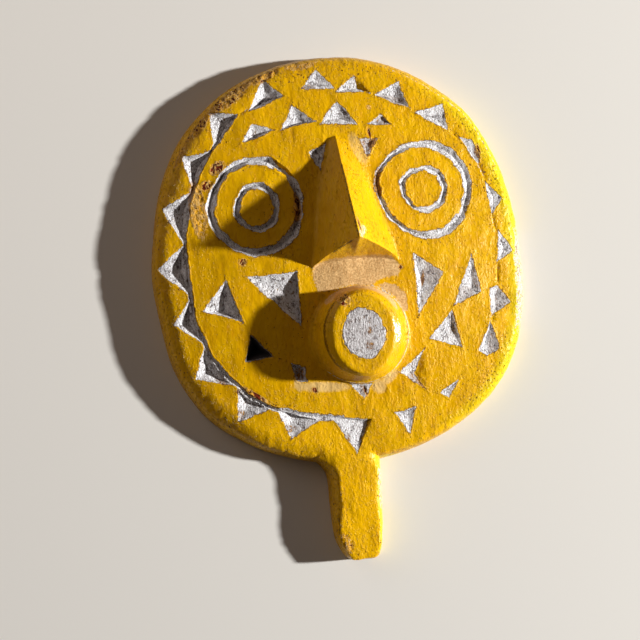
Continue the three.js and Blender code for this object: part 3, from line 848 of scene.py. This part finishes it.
class Net:
    """Points and lines that a triangle mesh is then laid on."""

    def __init__(self, outline):
        self.points = []
        self.edges = []
        self.count = 0
        self.outline = outline
        self.line(outline, closed=True)

    def line(self, points, closed=False):
        start = self.count
        self.points.append(points)
        self.count += len(points)
        last = len(points) if closed else len(points) - 1
        self.edges += [(start + i, start + (i + 1) % len(points)) for i in range(last)]

    def taken(self, points, cell):
        """Which points lie in or next to a cell of a fine grid that a line's point is in."""
        grid = np.zeros((NET_CELLS, NET_CELLS), bool)
        column, row = (np.floor(np.concatenate(self.points) / cell).astype(int) + NET_CELLS // 2).T
        for across in (-1, 0, 1):
            for up in (-1, 0, 1):
                grid[column + across, row + up] = True
        column, row = (np.floor(points / cell).astype(int) + NET_CELLS // 2).T
        return grid[column, row]

    def fill(self, spacing, seed, cell, keep=None):
        """Scatters points over the outline, clear of the lines."""
        low, high = self.outline.min(axis=0), self.outline.max(axis=0)
        across = np.arange(low[0], high[0], spacing)
        up = np.arange(low[1], high[1], spacing * math.sqrt(3) / 2)
        x, y = np.meshgrid(across, up)
        x[1::2] += spacing / 2
        points = np.stack([x.ravel(), y.ravel()], axis=1)
        points += np.random.default_rng(seed).uniform(-0.16, 0.16, points.shape) * spacing
        if keep is not None:
            points = points[keep(points)]
        points = points[~self.taken(points, cell)]
        points = points[inside_outline(points, self.outline)]
        self.points.append(points)
        self.count += len(points)

    def triangles(self):
        """Points and triangles inside the outline, and which point each of the outline's became."""
        flat = [Vector(point) for point in np.concatenate(self.points)]
        border = list(range(len(self.outline)))
        verts, _, faces, sources, _, _ = delaunay_2d_cdt(flat, self.edges, [border], 1, 1e-5)
        places = {origin: index for index, origins in enumerate(sources) for origin in origins}
        return np.array([tuple(v) for v in verts]), np.array(faces), [places[i] for i in border]


def cut_lines(net):
    """Lines of the net along every crease, moved by the knife's wobble."""
    for corners, pit, _ in all_chips():
        net.line(unwarped(subdivided(corners, FINE, closed=True)), closed=True)
        for first in (True, False):
            net.line(unwarped(valley(corners, pit, first)[1:-1]))
    for ring in EYE_RINGS:
        angle = np.linspace(0, 2 * math.pi, int(ring.half_width * 9), endpoint=False)
        middle = ring_radius(angle, ring)
        half = ring_half(angle, ring)
        for offset in (-half, 0, half):
            reach = middle + offset
            line = np.stack([ring.x + reach * np.cos(angle), ring.y + reach * np.sin(angle)], axis=1)
            net.line(unwarped(line), closed=True)
    for start, end, width, _, _ in PANEL_GROOVES:
        clock = np.arange(start + 1, end - 1, 0.5)
        for offset in (-width / 2, 0, width / 2):
            net.line(unwarped(on_clock(clock, around(PANEL_RADII, clock) + offset)))


def raised_lines(net):
    """Lines of the net up the nose's ridge and round the mouth."""
    ridge = np.array([(row[2], row[0]) for row in NOSE_ROWS if row[0] > 7], float)
    net.line(spline(ridge, FINE))
    net.line(subdivided(NOSE_UNDER_EDGE, FINE))
    angle = np.linspace(0, 2 * math.pi, 210, endpoint=False)
    rings = [(level, MOUTH_FOOT, MOUTH_SHOULDER) for level in (-0.14, -0.06, *np.arange(0, 1.01, 0.0769))]
    rings += [(level, MOUTH_SHOULDER, MOUTH_END) for level in (0.2, 0.4, 0.6, 0.8, 1)]
    for level, low, high in rings:
        width, height = oval_between(level, low, high)
        ring = [MOUTH_MIDDLE[0] + width * np.sin(angle), MOUTH_MIDDLE[1] + height * np.cos(angle)]
        net.line(np.stack(ring, axis=1), closed=True)


def on_nose_underside(points):
    x, y = points.T
    edge_y, foot_y = nose_under_lines(x)
    left, right = NOSE_UNDER_EDGE[0][0], NOSE_UNDER_EDGE[-1][0]
    return (y > foot_y - 1.2) & (y < edge_y + 0.6) & (x > left) & (x < right)


def front_mesh(front):
    net = Net(front)
    cut_lines(net)
    raised_lines(net)
    net.fill(STEEP, 82, STEEP_GAP, on_nose_underside)
    net.fill(FINE, 81, FINE_GAP, lambda points: ~on_nose_underside(points))
    flat, faces, border = net.triangles()
    height, masks = surface(flat, distance_to(flat, subdivided(front, 0.3, closed=True)))
    return np.column_stack([flat, height]), faces, border, masks


def hollow_height(points):
    """The dish in the back, with the round gouge's cuts; 0 on the flat rim and the grip."""
    x, y = points.T
    share = np.clip(np.hypot(x, y) / (around(RIM_RADII, clock_of(points)) - BACK_RIM_WIDTH), 0, 1)
    gouge = 0.5 * np.abs(noise(x, y * 0.45, 4.2, 91)) + 0.25 * noise(x, y, 9, 92)
    return np.where(share < 1, HOLLOW_DEPTH * (1 - share ** 3) - gouge * smooth(1 - share, 0, 0.08), 0)


def back_mesh(back):
    net = Net(back)
    clock = np.arange(0, 360, 1.0)
    for share in (1, 0.985, 0.965):
        net.line(on_clock(clock, (around(RIM_RADII, clock) - BACK_RIM_WIDTH) * share), closed=True)
    net.fill(COARSE, 83, COARSE_GAP)
    flat, faces, border = net.triangles()
    return np.column_stack([flat, np.maximum(hollow_height(flat), 0)]), faces, border


def side_rows(back, front, front_height):
    """Rows of points between the front edge and the back edge, without those two rows."""
    run = np.arange(len(back)) * FINE
    rows = []
    for inwards, share in reversed(SIDE_PROFILE[1:-1]):
        flat = back + (front - back) * inwards
        knife = 0.32 * np.abs(noise(run, share * 6, 7, 95)) + 0.12 * noise(run, share * 14, 2.4, 96)
        flat = flat - outward(back) * (knife * 4 * share * (1 - share))[:, None]
        rows.append(np.column_stack([flat, front_height * share]))
    return rows


def rubbed_side(points):
    """How far the sides are rubbed: a little all round, and most on the lit right and the grip's right side,
    where it is also a painted highlight.
    """
    start, end = RUBBED_SIDE
    rubbed = band(clock_of(points), start, start + 10, end - 12, end)
    on_grip = smooth(points[:, 1], -128, -118) * (points[:, 1] < GRIP_TOP - 6) * (points[:, 0] > 7)
    return 0.12 + 0.6 * np.maximum(rubbed, 0.85 * on_grip)


def whole_masks(masks, points, sides, back, back_border):
    """The front's masks carried on over the sides and the back, and the mask of the hidden back."""
    rest = len(points) - sides.start
    for name, values in masks.items():
        fill = -MASK_REACH if name in ("white", "black", "bare", "oval") else 0
        masks[name] = np.concatenate([values, np.full(rest, SIDE_GRIT if name == "gritty" else fill)])
    masks["rubbed"][sides] += rubbed_side(points[sides])
    masks["lemon"][sides] = lemon(points[sides], 0)
    masks["hidden"] = np.zeros(len(points))
    masks["hidden"][back] = 1
    masks["hidden"][back_border] = 0.5
    return masks


def mesh_object(name, points, faces):
    mesh = bpy.data.meshes.new(name)
    mesh.from_pydata(points, [], faces)
    thing = bpy.data.objects.new(name, mesh)
    bpy.context.scene.collection.objects.link(thing)
    return thing


def build_mask():
    """One closed mesh with its masks: carved front, sides and hollowed back."""
    back, front = hand_cut(*mask_outline())
    front_points, front_faces, front_border, masks = front_mesh(front)
    back_points, back_faces, back_border = back_mesh(back)
    rows = side_rows(back, front, front_points[front_border, 2])
    points = np.concatenate([front_points, *rows, back_points])

    side_start = len(front_points)
    back_start = side_start + len(rows) * len(back)
    side_rings = np.arange(side_start, back_start).reshape(len(rows), len(back))
    rings = [np.array(front_border), *side_rings, np.array(back_border) + back_start]
    faces = front_faces.tolist()
    for upper, lower in zip(rings, rings[1:]):
        corners = [upper, np.roll(upper, -1), np.roll(lower, -1), lower]
        faces += np.stack(corners, axis=1).tolist()
    faces += (back_faces[:, ::-1] + back_start).tolist()
    masks = whole_masks(masks, points, slice(side_start, back_start), slice(back_start, None), rings[-1])

    points[:, 1] += DISC_MIDDLE_Y
    mask = mesh_object("painted_mask", (points * MM).tolist(), faces)
    mesh = mask.data
    mesh.validate()
    mesh.polygons.foreach_set("use_smooth", [True] * len(mesh.polygons))
    mesh.set_sharp_from_angle(angle=math.radians(SHARP_ANGLE))
    for name, values in masks.items():
        attribute = mesh.attributes.new(name, "FLOAT", "POINT")
        attribute.data.foreach_set("value", values.astype(np.float32))
    return mask


def srgb(red, green, blue):
    """A colour given as a screen shows it, as the shader needs it."""
    linear = [value / 255 / 12.92 if value < 11 else ((value / 255 + 0.055) / 1.055) ** 2.4
              for value in (red, green, blue)]
    return (*linear, 1.0)


def feed(tree, socket, value):
    """Gives a socket another node's output, a colour as a screen shows it, or a number."""
    if isinstance(value, Value):
        tree.links.new(value.socket, socket)
    else:
        socket.default_value = srgb(*value) if isinstance(value, tuple) else value


class Value:
    """A number or a colour in a material's nodes, and what can be made of it."""

    def __init__(self, tree, socket):
        self.tree = tree
        self.socket = socket

    def made(self, kind, inputs, output=0, **settings):
        """What comes out of a new node with these settings and inputs."""
        node = self.tree.nodes.new("ShaderNode" + kind)
        for name, setting in settings.items():
            setattr(node, name, setting)
        for key, value in inputs.items():
            feed(self.tree, node.inputs[key], value)
        return Value(self.tree, node.outputs[output])

    def math(self, operation, other=0.0):
        return self.made("Math", {0: self, 1: other}, operation=operation)

    def __add__(self, other):
        return self.math("ADD", other)

    def __sub__(self, other):
        return self.math("SUBTRACT", other)

    def __mul__(self, other):
        return self.math("MULTIPLY", other)

    def __abs__(self):
        return self.math("ABSOLUTE")

    def step(self, start, end):
        """0 before the start, 1 after the end, and smooth between."""
        inputs = {"Value": self, "From Min": start, "From Max": end}
        return self.made("MapRange", inputs, "Result", interpolation_type="SMOOTHSTEP")

    def mix(self, a, b):
        """One colour turning into another by this share."""
        return self.made("Mix", {0: self, 6: a, 7: b}, 2, data_type="RGBA")

    def blend(self, a, b):
        """One number turning into another by this share."""
        return self.made("Mix", {0: self, 2: a, 3: b}, data_type="FLOAT")


class Paint:
    """A material with its masks and noises; its named parts are kept on it while it is mixed."""

    def __init__(self, name):
        self.material = bpy.data.materials.new(name)
        self.material.use_nodes = True
        self.tree = self.material.node_tree
        self.place = self.tree.nodes.new("ShaderNodeTexCoord").outputs["Object"]

    def mask(self, name):
        node = self.tree.nodes.new("ShaderNodeAttribute")
        node.attribute_name = name
        return Value(self.tree, node.outputs["Fac"])

    def noise(self, *sizes, detail=2.0, rough=0.5, turn=0.0, seed=0.0, bend=0.0):
        """Noise with features of these sizes in millimetres along x, y and z, or of one size."""
        mapping = self.tree.nodes.new("ShaderNodeMapping")
        mapping.vector_type = "POINT"
        mapping.inputs["Rotation"].default_value = (0, 0, math.radians(turn))
        mapping.inputs["Scale"].default_value = [1000 / size for size in (sizes * 3)[:3]]
        self.tree.links.new(self.place, mapping.inputs["Vector"])
        place = Value(self.tree, mapping.outputs["Vector"])
        inputs = {"Vector": place, "W": seed, "Scale": 1.0, "Detail": detail}
        inputs.update({"Roughness": rough, "Distortion": bend})
        return place.made("TexNoise", inputs, "Fac", noise_dimensions="4D")

    def finish(self, **inputs):
        """The material, with these values in its shader's inputs."""
        shader = self.tree.nodes["Principled BSDF"]
        for name, value in inputs.items():
            feed(self.tree, shader.inputs[name.replace("_", " ")], value)
        return self.material


def shared_parts(p):
    """Noises and shares that several layers of the paint use."""
    p.specks = p.noise(0.9, detail=3, rough=0.6, seed=2)
    p.patches = p.noise(7, 10, 8, detail=3, seed=3)
    p.strokes = p.noise(1.3, 8, 4, turn=3, seed=4, bend=0.5)
    p.bristles = p.noise(1.0, 1.5, 1.2, detail=3, rough=0.62, turn=3, seed=5)
    p.fibres = p.noise(0.7, 1.0, 0.7, detail=4, rough=0.68, seed=6)
    p.speckle = p.noise(0.9, 1.3, 0.9, rough=0.6, seed=12)
    p.grit = p.noise(1.1, 1.4, 1.1, detail=3, rough=0.7, seed=14)
    p.back_grain = p.noise(0.8, 30, 2, detail=4, rough=0.6, turn=3, seed=11)
    p.border_noise = p.noise(2.6, seed=13)
    p.white = p.mask("white")
    p.border = p.white + (p.specks - 0.5 + (p.border_noise - 0.5)) * 1.5
    p.is_white = p.border.step(-0.08, 0.14)
    p.is_bare = (p.mask("bare") + (p.specks - 0.5) * 3.5).step(-0.3, 0.5)
    rub_noise = p.noise(1.2, 1.7, 1.2, detail=4, rough=0.7, seed=10)
    # Worn pale paint, partly a painted highlight
    p.is_rubbed = (p.mask("rubbed") + (rub_noise - 0.5) * 1.8).step(0.52, 0.64)
    p.dark = (p.mask("dark") + (p.bristles - 0.5) * 1.6).step(0.3, 0.8)
    p.is_hidden = p.mask("hidden").step(0.6, 0.95)
    p.polished = p.mask("polished")


def over(colour, *layers):
    """A colour with others laid over it, each by its share."""
    for share, layer in layers:
        colour = share.mix(colour, layer)
    return colour


def yellow_paint(p):
    """Golden yellow with the strokes of a stiff brush, painted shade in their valleys, painted highlight and
    painted light where the light falls, and pits and grit near edges and cuts.
    """
    rough = p.mask("edge").step(16, 3) * 0.6 + p.white.step(-3.4, -0.4) * 0.7 + p.mask("gritty")
    p.pits = (p.speckle + rough * 0.045).step(0.66, 0.73)
    crowd = (p.noise(9, 13, 9, detail=1, seed=15) + rough * 0.14).step(0.42, 0.66)
    p.flecks = p.grit.step(0.54, 0.68) * (crowd * 0.85 + 0.15)
    return over(
        p.patches.step(0.35, 0.7).mix((226, 170, 0), (233, 180, 0)),
        # Painted highlight: lemon yellow towards the lit right edge
        (p.mask("lemon") * 0.85, (232, 206, 14)),
        # Painted light: brighter yellow on patches where the light falls
        (p.mask("fresh") * 0.9, (246, 188, 0)),
        # Darker ochre in the strokes' low valleys: partly the paint's tone, partly painted shade
        (p.strokes.step(0.42, 0.3) * 0.45, (198, 132, 0)),
        (p.pits, (104, 48, 2)),
    )


def chalk_white(p):
    """Chalky white, cracked and stained, and thin over fibres that show most on the mouth's end."""
    dirty = p.mask("dirty")
    stain = dirty + (p.grit - 0.5) * 1.4
    crack_noise = p.noise(2.6, 5.2, 2.6, rough=0.55, turn=12, seed=20, bend=1.3)
    p.cracks = abs(crack_noise - 0.5).step(0.034, 0.014) * p.noise(4, seed=21).step(0.4, 0.56)
    p.split_noise = p.noise(0.75, 4.2, 1.2, detail=3, rough=0.66, seed=17, bend=0.9)
    p.on_oval = p.mask("oval").step(-0.2, 0.6)
    p.splits = p.split_noise.step(0.42, 0.35) * p.on_oval
    return over(
        p.fibres.step(0.4, 0.54).mix((212, 206, 210), (250, 251, 255)),
        (dirty.step(0.08, 0.36) * 0.42 + p.patches.step(0.45, 0.7) * 0.16, (158, 138, 126)),
        (p.noise(1.6, 2.4, 1.6, detail=3, seed=7).step(0.62, 0.72), (160, 134, 104)),
        (p.fibres.step(0.4, 0.33) * 0.55, (112, 92, 86)),
        (p.cracks * 0.8, (74, 52, 48)),
        (p.speckle.step(0.66, 0.72) * 0.8, (82, 60, 52)),
        (p.on_oval * 0.25, (196, 180, 176)),
        (p.splits * 0.8, (96, 74, 66)),
        (stain.step(0.46, 0.6) * 0.9, p.specks.step(0.42, 0.6).mix((112, 62, 18), (196, 140, 46))),
    )


def flaked(p, colour):
    """The paint flaked to the dark wood, with pale broken edges of paint running through, whose paleness is
    partly a painted highlight on their lit ridges.
    """
    mask = p.mask("flaked")
    flake_noise = p.noise(2.6, 4.2, 2.6, detail=3, rough=0.58, turn=-38, seed=8, bend=1.2)
    edge = mask + (flake_noise - 0.5) * 1.15
    near = mask.step(0.34, 0.58)
    vein_noise = p.noise(2.8, 5.6, 2.8, turn=-38, seed=18, bend=1.4)
    p.is_flaked = edge.step(0.69, 0.76)
    # Pale broken edges, partly a painted highlight on their lit ridges
    p.flake_lip = edge.step(0.56, 0.64) * edge.step(0.75, 0.69)
    p.is_broken = abs(vein_noise - 0.5).step(0.036, 0.016) * near
    return over(
        colour,
        (near * 0.4, (206, 136, 14)),
        (p.is_flaked, p.specks.step(0.4, 0.6).mix((66, 12, 3), (128, 44, 6))),
        (p.flake_lip * 0.65, (252, 190, 84)),
        (p.is_broken * 0.85, (252, 206, 122)),
    )


def blackened(p, colour):
    mask = p.mask("black")
    # Charcoal at the chip's border, turning near black further inside it
    soot = mask.step(0.5, 3.0).mix((62, 60, 64), (16, 14, 16))
    return (mask + (p.specks - 0.5) * 1.5).step(-0.35, 0.6).mix(colour, soot)


def paint_colour(p):
    """The layers of paint and wear over each other, painted highlights and painted shade among them, and the
    plain wood of the back.
    """
    pale = p.mask("pale") + (p.bristles - 0.5) * 0.7
    # A broken brown line along the white's edge: painted shade in the crevice there
    rim = p.border.step(-0.5, -0.15) * p.border.step(0.3, 0.05) * p.border_noise.step(0.48, 0.58)
    colour = over(
        yellow_paint(p),
        # Rubbed pale paint, partly a painted highlight on lit lips and edges
        (p.is_rubbed, p.specks.step(0.38, 0.52).mix((150, 112, 84), (218, 208, 184))),
        (pale.step(0.3, 0.8) * 0.85, (232, 196, 128)),
        (p.is_bare, p.specks.step(0.35, 0.62).mix((192, 150, 94), (226, 188, 130))),
        (p.is_white, chalk_white(p)),
        # Painted shade in the crevice along the white's edge
        (rim * 0.75, (112, 56, 10)),
        # Painted shade in shaded corners, under the mouth's end and along the chips' valleys
        (p.dark * p.is_white.blend(0.8, 0.6), p.is_white.mix((58, 24, 4), (84, 68, 64))),
    )
    back_wood = p.back_grain.step(0.3, 0.7).mix((150, 104, 60), (196, 150, 98))
    return p.is_hidden.mix(blackened(p, flaked(p, colour)), back_wood)


def paint_roughness(p):
    rough = p.strokes.step(0.3, 0.7).blend(0.38, 0.25)
    worn = p.is_bare.math("MAXIMUM", p.is_rubbed)
    for share, dull in ((worn, 0.62), (p.is_white, 0.72), (p.is_flaked, 0.85), (p.is_hidden, 0.8)):
        rough = share.blend(rough, dull)
    return p.polished.blend(rough, 0.13)


def paint_relief(p):
    """Height of the strokes, the grit, the white's raised lip, the cracks and the broken edges."""
    lively = p.noise(5, 9, 6, seed=16).step(0.34, 0.66)
    relief = (p.strokes * 0.38 + p.bristles * 0.55) * (lively * 0.8 + 0.3)
    relief = relief + p.bristles * 0.25 + p.flecks * 0.8
    relief = relief * p.mask("calm").blend(1.0, 0.45)
    lip = p.border.step(-1.1, -0.45) * p.border.step(0.0, -0.3)
    relief = relief + lip * 0.3 + p.pits * -0.6 + p.flake_lip * 0.4
    chalk = p.fibres * 2.4 + p.bristles * 1.6 + p.cracks * -0.9
    chalk = chalk + p.on_oval * (p.split_noise * 3.6) + p.splits * -0.7
    relief = p.is_white.blend(relief, chalk)
    relief = p.is_bare.blend(relief, p.specks * 0.6)
    relief = relief + p.is_flaked * -0.7 + p.is_broken * 0.8 + p.dark * -0.4
    return p.is_hidden.blend(relief, p.back_grain)


def painted_wood():
    """Worn gloss paint over carved wood: yellow, with white in the cuts, and plain wood on the back."""
    p = Paint("painted_wood")
    shared_parts(p)
    colour = paint_colour(p)
    bump = {"Height": paint_relief(p), "Distance": RELIEF_DEPTH * MM, "Strength": 1.0}
    return p.finish(
        Base_Color=colour,
        Roughness=paint_roughness(p),
        Specular_IOR_Level=p.polished.blend(0.26, 0.9),
        IOR=1.45,
        Normal=colour.made("Bump", bump, "Normal"),
    )


def make_floor():
    size = FLOOR_HALF
    corners = [(-size, -size, 0), (size, -size, 0), (size, size, 0), (-size, size, 0)]
    floor = mesh_object("floor", corners, [(0, 1, 2, 3)])
    floor.data.materials.append(Paint("pale_floor").finish(Base_Color=(226, 224, 220), Roughness=0.8))


def area_light(name, place, size, power, colour):
    light = bpy.data.lights.new(name, "AREA")
    light.shape = "DISK"
    light.size = size
    light.energy = power
    light.color = colour
    lamp = bpy.data.objects.new(name, light)
    lamp.location = place
    lamp.rotation_euler = (Vector(LIT_PLACE) - Vector(place)).to_track_quat("-Z", "Y").to_euler()
    bpy.context.scene.collection.objects.link(lamp)


def make_lights():
    up, across = math.radians(KEY_ELEVATION), math.radians(KEY_AZIMUTH)
    towards = Vector((math.cos(up) * math.cos(across), math.cos(up) * math.sin(across), math.sin(up)))
    area_light("key", Vector(LIT_PLACE) + towards * KEY_DISTANCE, KEY_SIZE, KEY_POWER, KEY_COLOUR)
    area_light("fill", FILL_PLACE, FILL_SIZE, FILL_POWER, FILL_COLOUR)
    world = bpy.data.worlds.new("studio")
    world.use_nodes = True
    background = world.node_tree.nodes["Background"]
    background.inputs["Color"].default_value = WORLD_COLOUR
    background.inputs["Strength"].default_value = WORLD_STRENGTH
    bpy.context.scene.world = world


def make_camera():
    left, below, roll = (math.radians(angle) for angle in (VIEW_LEFT, VIEW_BELOW, VIEW_ROLL))
    back = Vector((-math.sin(left) * math.cos(below), -math.sin(below), math.cos(left) * math.cos(below)))
    right = Vector((0, 1, 0)).cross(back).normalized()
    up = back.cross(right)
    camera_up = up * math.cos(roll) + right * math.sin(roll)
    camera_right = right * math.cos(roll) - up * math.sin(roll)
    data = bpy.data.cameras.new("camera")
    data.lens = LENS
    data.sensor_width = SENSOR
    camera = bpy.data.objects.new("camera", data)
    turn = Matrix((camera_right, camera_up, back)).transposed().to_4x4()
    place = (Vector(VIEW_TARGET) + back * VIEW_DISTANCE) * MM
    camera.matrix_world = Matrix.Translation(place) @ turn
    bpy.context.scene.collection.objects.link(camera)
    bpy.context.scene.camera = camera


mask = build_mask()
mask.data.materials.append(painted_wood())
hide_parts("carved_mask")
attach(mask, "root")

make_floor()
make_lights()
make_camera()
bpy.context.scene.view_settings.view_transform = "Standard"
